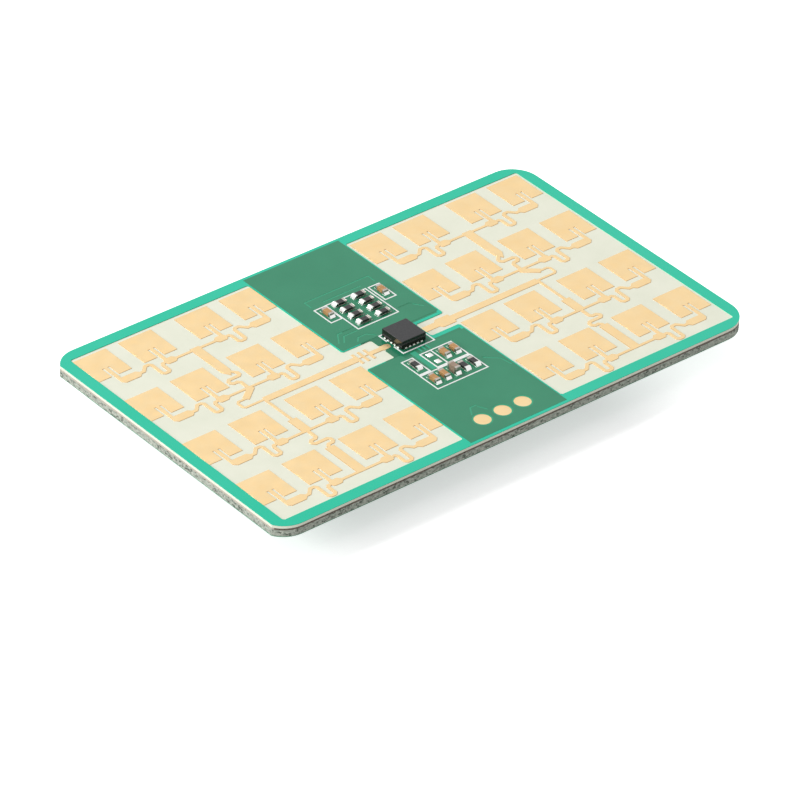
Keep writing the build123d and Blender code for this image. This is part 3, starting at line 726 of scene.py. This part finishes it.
@dataclass
class AntennaArray:
    """One etched array, with the rounded rim that etching and plating leave.

    Attributes:
        side: "left" or "right".
        rim: Width of the rounded rim, mm.
        neck: Half width of the left feed at each X where it narrows to the chip, mm.
        neck_y: Y of the feed, mm.
        neck_rise: How far the neck's plating stands above the line that it widens, mm.
    """

    side: str
    rim: float = 0.022
    neck: tuple[Pair, ...] = ((-2.94, 0.38), (-2.25, 0.37), (-1.97, 0.27), (-1.9, 0.12))
    neck_y: float = 0.03
    neck_rise: float = 0.002

    def feed_neck(self) -> bpy.types.Object:
        """Fills the mask's slot with the feed, as it narrows to the chip.

        Returns:
            The neck.
        """
        low, high = box_of("antenna_copper_left")
        bottom, top = low.z, high.z + self.neck_rise
        outline = [*self.neck, *((x, -half) for x, half in reversed(self.neck))]
        work = bmesh.new()
        add_prism(work, outline, top - bottom,
                  Matrix.Translation((0, self.neck_y, (bottom + top) / 2))
                  @ Matrix.Rotation(math.pi / 2, 4, "X"))
        return finished_piece("left_feed_neck", work, [GOLD])

    def build(self) -> bpy.types.Object:
        """Rounds the top rim of the copper.

        Returns:
            The plated array, which stands for its CAD node.
        """
        if self.side == "left":
            self.feed_neck()
        node = f"antenna_copper_{self.side}"
        work = merged_copy(node)
        top = box_of(node)[1].z
        # The upright sides and the rounded rim take the darker flank finish: painted shade.
        mark_sides(work)
        rim_edges = [edge for edge in work.edges
                     if all(abs(vertex.co.z - top) < SAME_POINT for vertex in edge.verts)
                     and len({face.material_index for face in edge.link_faces}) == 2]
        round_edges(work, rim_edges, self.rim, material=1, clamp=False)
        return finished_piece(f"{self.side}_array_plating", work, [GOLD, GOLD_FLANK_PAINTED_SHADE],
                              [node])


class Face(Enum):
    """The face of the board that a part stands on, as the way it rises."""

    ANTENNA = 1
    UNDER = -1


class ChipKind(Enum):
    """What a chip part is."""

    RESISTOR = (ALUMINA, "resistor_ceramic", 1.04)
    CAPACITOR = (CAPACITOR_TAN, "capacitor_ceramic", 0.5)
    TALL_CAPACITOR = (CAPACITOR_GREY, "capacitor_ceramic", 0.4)

    def __init__(self, finish: Finish, slot: str, climb: float) -> None:
        """Keeps what goes with the kind.

        Args:
            finish: Finish of the ceramic.
            slot: A name for the ceramic; kept but not used.
            climb: How far solder climbs the end caps, as a share of their height.
        """
        self.finish = finish
        self.slot = slot
        self.climb = climb


@dataclass
class ChipPart:
    """A chip resistor or capacitor with its end caps and solder.

    Attributes:
        node: CAD node that it stands for.
        kind: What it is.
        face: The face it stands on.
        cap_length: Length of an end cap, mm.
        cap_round: Rounding of a cap, mm.
        body_inset: How far the body lies inside the caps, mm.
        body_round: Rounding of the body, mm.
        painted_shade_start: Share of a resistor's height at which its dark upper part starts.
        coat_lap: How far that part laps over the caps and stands out at the sides, mm.
        slope: Corners of the solder's slope, as shares of its reach and climb.
        solder_reach: How far the solder runs out on the land, mm.
        solder_laps: How far it laps over the near and the far cap, mm.
    """

    node: str
    kind: ChipKind
    face: Face
    cap_length: float = 0.27
    cap_round: float = 0.04
    body_inset: float = 0.02
    body_round: float = 0.025
    painted_shade_start: float = 0.22
    coat_lap: float = 0.012
    slope: tuple[Pair, ...] = ((1.0, 0.0), (1.0, 0.06), (0.88, 0.22), (0.42, 0.7),
                               (0.14, 0.95), (0.0, 1.0))
    solder_reach: float = 0.23
    solder_laps: Pair = (0.03, 0.17)

    def build(self) -> list[bpy.types.Object]:
        """Builds the part in its CAD node's box.

        Returns:
            The body, and the caps with their solder.
        """
        low, high = box_of(self.node)
        size = high - low
        turned = size.y > size.x
        length, width = (size.y, size.x) if turned else (size.x, size.y)
        seat = low.z if self.face is Face.ANTENNA else high.z
        middle = Vector(((low.x + high.x) / 2, (low.y + high.y) / 2, seat))
        stand = Matrix.Translation(middle) @ Matrix.Rotation(math.pi / 2 if turned else 0, 4, "Z")
        if self.face is Face.UNDER:
            stand = stand @ Matrix.Rotation(math.pi, 4, "X")
        body = self.body_mesh(length, width, size.z)
        caps = self.cap_mesh(length, width, size.z)
        for work in (body, caps):
            bmesh.ops.transform(work, matrix=stand, verts=work.verts)
        return [finished_piece(f"{self.node}_ceramic", body, [self.kind.finish, OVERCOAT],
                               [self.node]),
                finished_piece(f"{self.node}_caps", caps, [TIN, SOLDER],
                               [self.node])]

    def body_mesh(self, length: float, width: float, height: float) -> bmesh.types.BMesh:
        """Builds the ceramic, and a resistor's overcoat on it, carried down its sides as painted
        shade.

        Args:
            length: Length of the part, mm.
            width: Its width, mm.
            height: Its height, mm.

        Returns:
            The mesh, standing on the origin.
        """
        work = bmesh.new()
        inset = self.body_inset
        half_length = length / 2 - 2 * inset
        half_width = width / 2 - inset
        add_block(work, Vector((-half_length, -half_width, inset)),
                  Vector((half_length, half_width, height - inset)), self.body_round)
        if self.kind is ChipKind.RESISTOR:
            # A resistor's black overcoat runs down its sides as painted shade; only its top is
            # real overcoat.
            coat_length = length / 2 - self.cap_length + self.coat_lap
            coat_width = half_width + self.coat_lap
            add_block(work, Vector((-coat_length, -coat_width, height * self.painted_shade_start)),
                      Vector((coat_length, coat_width, height - inset / 2)),
                      self.body_round, material=1)
        return work

    def cap_mesh(self, length: float, width: float, height: float) -> bmesh.types.BMesh:
        """Builds both end caps and the solder in front of them.

        Args:
            length: Length of the part, mm.
            width: Its width, mm.
            height: Its height, mm.

        Returns:
            The mesh, standing on the origin.
        """
        work = bmesh.new()
        for turn, lap in zip((0, math.pi), self.solder_laps):
            spin = Matrix.Rotation(turn, 4, "Z")
            cap = add_block(work, Vector((length / 2 - self.cap_length, -width / 2, 0)),
                            Vector((length / 2, width / 2, height)), self.cap_round)
            bmesh.ops.transform(work, matrix=spin, verts=cap)
            outline = solder_outline(self.slope, self.solder_reach, self.kind.climb * height, lap)
            add_prism(work, outline, width, spin @ Matrix.Translation((length / 2, 0, 0)),
                      material=1)
        return work


@dataclass
class RadarChip:
    """The radar chip: a sawn plastic body over side terminals, with solder at each.

    Attributes:
        side_inset: How far the body's sides lie behind the terminals, mm.
        edge_round: Rounding of the top edges, mm.
        pins: Terminals on each side.
        pitch: Spacing of the terminals, mm.
        slope: Corners of the solder's slope, as shares of its reach and climb.
        solder_reach: How far the solder runs out, mm.
        solder_climb: How far it climbs, mm.
        solder_lap: How far it reaches in behind the terminal's face, mm.
        solder_width: Its width, mm.
    """

    side_inset: float = 0.008
    edge_round: float = 0.055
    pins: int = 5
    pitch: float = 0.5
    slope: tuple[Pair, ...] = ((1.0, 0.0), (1.0, 2 / 13), (0.6, 0.3), (0.25, 0.65), (2 / 15, 1.0))
    solder_reach: float = 0.09
    solder_climb: float = 0.13
    solder_lap: float = 0.02
    solder_width: float = 0.2392

    def body(self) -> bpy.types.Object:
        """Builds the plastic body with its rounded top edges.

        Returns:
            The body, which stands for its CAD node.
        """
        low, high = box_of("radar_chip_body")
        inset = Vector((self.side_inset, self.side_inset, 0))
        middle = (low.z + high.z) / 2
        work = bmesh.new()
        add_cuboid(work, low + inset, high - inset)
        upper = [edge for edge in work.edges if all(end.co.z > middle for end in edge.verts)]
        round_edges(work, upper, self.edge_round, segments=3)
        # The upright sides take the darker epoxy: painted shade.
        mark_sides(work)
        return finished_piece("radar_chip_plastic", work, [MOULDED_EPOXY, SAWN_EPOXY_PAINTED_SHADE],
                              ["radar_chip_body"])

    def solder(self) -> bpy.types.Object:
        """Builds the small solder slope in front of each terminal.

        Returns:
            The solder of all four sides.
        """
        low, high = box_of("radar_chip_terminals")
        middle = Vector(((low.x + high.x) / 2, (low.y + high.y) / 2, low.z))
        half = (high.x - low.x) / 2
        outline = solder_outline(self.slope, self.solder_reach, self.solder_climb,
                                 self.solder_lap)
        work = bmesh.new()
        for side in range(4):
            turn = Matrix.Translation(middle) @ Matrix.Rotation(side * math.pi / 2, 4, "Z")
            for pin in range(self.pins):
                offset = (pin - (self.pins - 1) / 2) * self.pitch
                add_prism(work, outline, self.solder_width,
                          turn @ Matrix.Translation((half, offset, 0)))
        return finished_piece("radar_chip_solder", work, [WETTED_LAND])

    def build(self) -> None:
        """Builds the chip and dresses its terminals."""
        self.body()
        self.solder()
        dress("radar_chip_terminals", SAWN_COPPER_PAINTED_SHADE)


@dataclass
class BareLands:
    """Two lands with no part on them, left with a dome of solder.

    Attributes:
        middles: Middle of each land, mm.
        size: Side of a land, mm.
        crown: Height of the dome, mm.
        squareness: How far the round outline is drawn out to the square, 0 to 1.
    """

    middles: tuple[Pair, ...] = ((0.07, -3.66), (0.07, -4.96))
    size: float = 0.64
    crown: float = 0.09
    squareness: float = 0.75

    def build(self) -> bpy.types.Object:
        """Presses a ball into a pillow over each land.

        Returns:
            The two domes.
        """
        seat = box_of("component_lands")[1].z
        work = bmesh.new()
        for x, y in self.middles:
            dome = bmesh.ops.create_uvsphere(work, u_segments=24, v_segments=16,
                                             radius=1.0)["verts"]
            for vertex in dome:
                spread = max(abs(vertex.co.x), abs(vertex.co.y))
                square = vertex.co.xy.length / spread if spread > 0 else 1.0
                vertex.co.xy *= 1 + (square - 1) * self.squareness
            bmesh.ops.transform(
                work, verts=dome, matrix=Matrix.Translation((x, y, seat))
                @ Matrix.Diagonal((self.size / 2, self.size / 2, self.crown, 1)))
        return finished_piece("bare_land_solder", work, [SOLDER])


@dataclass
class LeadedPackage:
    """A moulded package on the underside, with a parting line and a first-pin dimple.

    Attributes:
        name: Name of the package; its CAD nodes are NAME_body and NAME_leads.
        dimple: Radius of the dimple, mm.
        dimple_inset: Distance of the dimple from the two nearest sides, mm.
        draft: How far the sides lean in above and below the parting line, mm.
        edge_round: Rounding of the edges, mm.
        dimple_depth: Depth of the dimple, mm.
        dimple_floor: Radius of its floor, as a share of its own.
    """

    name: str
    dimple: float
    dimple_inset: float
    draft: float = 0.09
    edge_round: float = 0.04
    dimple_depth: float = 0.06
    dimple_floor: float = 0.82

    def build(self) -> None:
        """Builds the body and dresses the leads."""
        low, high = box_of(f"{self.name}_body")
        middle = (low + high) / 2
        work = bmesh.new()
        add_cuboid(work, low, high)
        upright = [edge for edge in work.edges
                   if abs(edge.verts[0].co.z - edge.verts[1].co.z) > SAME_POINT]
        bmesh.ops.subdivide_edges(work, edges=upright, cuts=1)
        half = (high - low) / 2
        lean = Vector((1 - self.draft / half.x, 1 - self.draft / half.y, 1))
        ends = [vertex for vertex in work.verts if abs(vertex.co.z - middle.z) > SAME_POINT]
        bmesh.ops.scale(work, vec=lean, verts=ends, space=Matrix.Translation(-middle))
        round_edges(work, work.edges, self.edge_round)
        outer = min(work.faces, key=lambda face: face.calc_center_median().z)
        self.sink_dimple(work, outer, low)
        finished_piece(f"{self.name}_package", work, [MOULDED_EPOXY],
                       [f"{self.name}_body"])
        dress(f"{self.name}_leads", TIN)

    def sink_dimple(self, work: bmesh.types.BMesh, face: bmesh.types.BMFace,
                    low: Vector) -> None:
        """Sinks a round dimple into the outer face, near one corner.

        Args:
            work: The body's mesh.
            face: Its outer face.
            low: Lowest corner of the body, mm.
        """
        level = face.calc_center_median().z
        place = Vector((low.x + self.dimple_inset, low.y + self.dimple_inset, level))
        ring = bmesh.ops.create_circle(work, segments=24, radius=self.dimple,
                                       matrix=Matrix.Translation(place))["verts"]
        ring_edges = edges_at(ring)
        rim_edges = list(face.edges)
        bmesh.ops.delete(work, geom=[face], context="FACES_ONLY")
        bmesh.ops.triangle_fill(work, use_beauty=True, edges=ring_edges + rim_edges)
        floor = [inner for inner in work.faces
                 if all((vertex.co - place).length < self.dimple + SAME_POINT
                        for vertex in inner.verts)]
        bmesh.ops.delete(work, geom=floor, context="FACES_ONLY")
        sunk = bmesh.ops.extrude_edge_only(work, edges=ring_edges)
        deep = [item for item in sunk["geom"] if isinstance(item, bmesh.types.BMVert)]
        bmesh.ops.translate(work, verts=deep, vec=Vector((0, 0, self.dimple_depth)))
        bmesh.ops.scale(work, vec=Vector((self.dimple_floor, self.dimple_floor, 1)), verts=deep,
                        space=Matrix.Translation(-place))
        bmesh.ops.contextual_create(
            work, geom=[item for item in sunk["geom"] if isinstance(item, bmesh.types.BMEdge)
                        and all(vertex in deep for vertex in item.verts)])


@dataclass
class Crystal:
    """The crystal: a ceramic tray with a seam-welded metal lid.

    Attributes:
        tray_share: Share of the height that the tray takes.
        lid_inset: How far the lid lies inside the tray, mm.
        crown_inset: How far the lid's raised middle lies inside the tray, mm.
        crown: Height of that middle, mm.
        edge_round: Rounding of the edges, mm.
    """

    tray_share: float = 0.72
    lid_inset: float = 0.14
    crown_inset: float = 0.42
    crown: float = 0.05
    edge_round: float = 0.05

    def build(self) -> None:
        """Builds the tray, the lid's flange and its raised middle."""
        low, high = box_of("crystal")
        split = high.z - (high.z - low.z) * self.tray_share
        work = bmesh.new()
        add_block(work, Vector((low.x, low.y, split)), high, self.edge_round, material=1)
        for inset, bottom, top in ((self.lid_inset, low.z + self.crown, split + self.edge_round),
                                   (self.crown_inset, low.z, split)):
            add_block(work, Vector((low.x + inset, low.y + inset, bottom)),
                      Vector((high.x - inset, high.y - inset, top)), self.edge_round)
        finished_piece("crystal_case", work, [LID_METAL, CRYSTAL_CERAMIC],
                       ["crystal"])


@dataclass
class Socket8:
    """One eight-way socket: a moulded strip with softened edges, and its contacts.

    Attributes:
        side: "left" or "right".
        edge_round: Rounding of the moulded edges, mm.
        round_from: Turn above which an edge is rounded, degrees.
    """

    side: str
    edge_round: float = 0.05
    round_from: float = 40.0

    def build(self) -> None:
        """Softens the strip and dresses the contacts."""
        node = f"socket_{self.side}_body"
        work = merged_copy(node)
        sharp = [edge for edge in work.edges if len(edge.link_faces) == 2
                 and edge.calc_face_angle(0) > math.radians(self.round_from)]
        round_edges(work, sharp, self.edge_round)
        finished_piece(f"socket_{self.side}_strip", work, [SOCKET_PLASTIC],
                       [node])
        dress(f"socket_{self.side}_contacts", CONTACT)


# Picture


@dataclass
class Lamp:
    """A soft square lamp aimed at the board.

    Attributes:
        name: Its name.
        place: Where it hangs, metres.
        side: Length of its side, metres.
        share: Part of the white level that it gives a face turned to it.
    """

    name: str
    place: Point
    side: float
    share: float

    def build(self) -> None:
        """Hangs the lamp, with the power that gives a face turned to it its share of white."""
        data = bpy.data.lights.new(self.name, "AREA")
        data.shape = "SQUARE"
        data.size = self.side
        place = Vector(self.place)
        data.energy = self.share * (math.pi * place.length) ** 2
        lamp = bpy.data.objects.new(self.name, data)
        lamp.location = place
        lamp.rotation_euler = place.to_track_quat("Z", "Y").to_euler()
        bpy.context.scene.collection.objects.link(lamp)


@dataclass
class Studio:
    """A white floor, a white surround and soft lamps.

    Attributes:
        floor_size: Side of the floor, metres.
        sky: Level of the surround's light.
        floor_tone: Colour of the floor in light, linear.
        floor_lift: Light that the floor adds where it is looked at, near and far from the
            middle of the shadow; the weaker glow near the middle paints shadow there.
        shadow_middle: Middle of the painted shadow, metres.
        shadow_reach: Distances between which the lift grows, metres.
        lamps: The lamps.
    """

    floor_size: float = 8.0
    sky: float = 0.33
    floor_tone: float = 0.85
    floor_lift: Pair = (0.55, 0.85)
    shadow_middle: Point = (-0.004, -0.022, 0.0)
    shadow_reach: Pair = (0.015, 0.03)
    lamps: tuple[Lamp, ...] = (
        Lamp("key", (-0.3, 0.6, 0.85), 0.35, 0.6),
        Lamp("fill", (-1.0, 0.1, 0.38), 0.5, 0.45))

    def looked_at(self, tree: Tree) -> Socket:
        """Gives 1 on rays from the camera, from a glossy face or through a clear one.

        Args:
            tree: The node tree that asks.

        Returns:
            The sum, clamped to 1.
        """
        path = add_node(tree, "LightPath")
        glossy = add_node(tree, "Math", {0: path.outputs["Is Camera Ray"],
                                         1: path.outputs["Is Glossy Ray"]},
                          operation="ADD", use_clamp=True)
        seen = add_node(tree, "Math", {0: glossy.outputs[0],
                                       1: path.outputs["Is Transmission Ray"]},
                        operation="ADD", use_clamp=True)
        return seen.outputs[0]

    def surround(self) -> None:
        """Makes the world: soft light, and plain white where it is looked at."""
        world = bpy.data.worlds.new("surround")
        bpy.context.scene.world = world
        world.use_nodes = True
        tree = world.node_tree
        tree.nodes.clear()
        strength = add_node(tree, "MapRange", {"Value": self.looked_at(tree),
                                               "To Min": self.sky, "To Max": 1.0})
        background = add_node(tree, "Background", {"Color": WHITE,
                                                   "Strength": strength.outputs["Result"]})
        add_node(tree, "OutputWorld", {"Surface": background.outputs["Background"]})

    def floor(self) -> None:
        """Lays the floor: it holds the board's shadow, deepened by a painted shadow where its
        glow is weaker, and is clear from below.
        """
        work = bmesh.new()
        bmesh.ops.create_grid(work, x_segments=1, y_segments=1, size=self.floor_size / 2)
        mesh = bpy.data.meshes.new("floor")
        work.to_mesh(mesh)
        work.free()
        material = bpy.data.materials.new("floor_paper")
        material.use_nodes = True
        tree = material.node_tree
        tree.nodes.clear()
        tone = (self.floor_tone,) * 3 + (1.0,)
        paper = add_node(tree, "BsdfDiffuse", {"Color": tone})
        coordinates = add_node(tree, "TexCoord")
        distance = add_node(tree, "VectorMath", {0: coordinates.outputs["Object"],
                                                 1: self.shadow_middle}, operation="DISTANCE")
        # The glow is weaker near the shadow's middle: a painted shadow on the floor.
        strength = add_node(tree, "MapRange", {
            "Value": distance.outputs["Value"], "From Min": self.shadow_reach[0],
            "From Max": self.shadow_reach[1], "To Min": self.floor_lift[0],
            "To Max": self.floor_lift[1]}, interpolation_type="SMOOTHSTEP")
        lift = add_node(tree, "Math", {0: self.looked_at(tree), 1: strength.outputs["Result"]},
                        operation="MULTIPLY")
        glow = add_node(tree, "Emission", {"Color": WHITE, "Strength": lift.outputs[0]})
        above = add_node(tree, "AddShader", {0: paper.outputs[0], 1: glow.outputs[0]})
        below = add_node(tree, "BsdfTransparent")
        side = add_node(tree, "NewGeometry")
        shown = add_node(tree, "MixShader", {0: side.outputs["Backfacing"],
                                             1: above.outputs[0], 2: below.outputs[0]})
        add_node(tree, "OutputMaterial", {"Surface": shown.outputs[0]})
        mesh.materials.append(material)
        floor = bpy.data.objects.new("floor", mesh)
        bpy.context.scene.collection.objects.link(floor)

    def build(self) -> None:
        """Makes the surround, the floor and the lamps."""
        bpy.context.scene.view_settings.view_transform = "Standard"
        self.surround()
        self.floor()
        for lamp in self.lamps:
            lamp.build()


@dataclass
class Viewpoint:
    """The camera at the photograph's angle, with its long lens.

    Attributes:
        place: Where it stands, metres.
        aim: The point on its axis above the board, metres.
        lens: Focal length, mm.
        sensor: Width of the frame, mm.
        roll: Tilt of its right side upwards, degrees.
    """

    place: Point = (-0.309335, -0.352450, 0.320808)
    aim: Point = (-0.007178, -0.007866, 0.00432)
    lens: float = 260.26
    sensor: float = 36.0
    roll: float = 2.569

    def build(self) -> None:
        """Stands the camera and makes it the scene's."""
        forward = (Vector(self.aim) - Vector(self.place)).normalized()
        level = forward.cross(Vector((0, 0, 1))).normalized()
        roll = math.radians(self.roll)
        right = level * math.cos(roll) + level.cross(forward) * math.sin(roll)
        up = right.cross(forward)
        data = bpy.data.cameras.new("camera")
        data.lens = self.lens
        data.sensor_width = self.sensor
        camera = bpy.data.objects.new("camera", data)
        turn = Matrix((right, up, -forward)).transposed().to_4x4()
        camera.matrix_world = Matrix.Translation(self.place) @ turn
        bpy.context.scene.collection.objects.link(camera)
        bpy.context.scene.camera = camera


def chip_parts() -> list[ChipPart]:
    """Lists every chip part of the module.

    Returns:
        The chip parts of both faces.
    """
    parts = []
    for node in sorted(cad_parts):
        face = Face.UNDER if node.startswith("under_") else Face.ANTENNA
        if "resistor" in node:
            parts.append(ChipPart(node, ChipKind.RESISTOR, face))
        elif "capacitor" in node:
            tall = node == TALL_PART
            kind = ChipKind.TALL_CAPACITOR if tall else ChipKind.CAPACITOR
            parts.append(ChipPart(node, kind, face))
    return parts


def main() -> None:
    """Builds the dressed module and its picture, in order."""
    logging.basicConfig(level=logging.INFO, format="%(message)s")
    Substrate().build()
    for side in ("left", "right"):
        AntennaArray(side).build()
    for part in chip_parts():
        part.build()
    RadarChip().build()
    BareLands().build()
    LeadedPackage("controller", dimple=0.45, dimple_inset=1.1).build()
    LeadedPackage("amplifier", dimple=0.3, dimple_inset=0.75).build()
    LeadedPackage("regulator", dimple=0.13, dimple_inset=0.36).build()
    Crystal().build()
    for side in ("left", "right"):
        Socket8(side).build()
    Studio().build()
    Viewpoint().build()


if __name__ == "__main__":
    main()
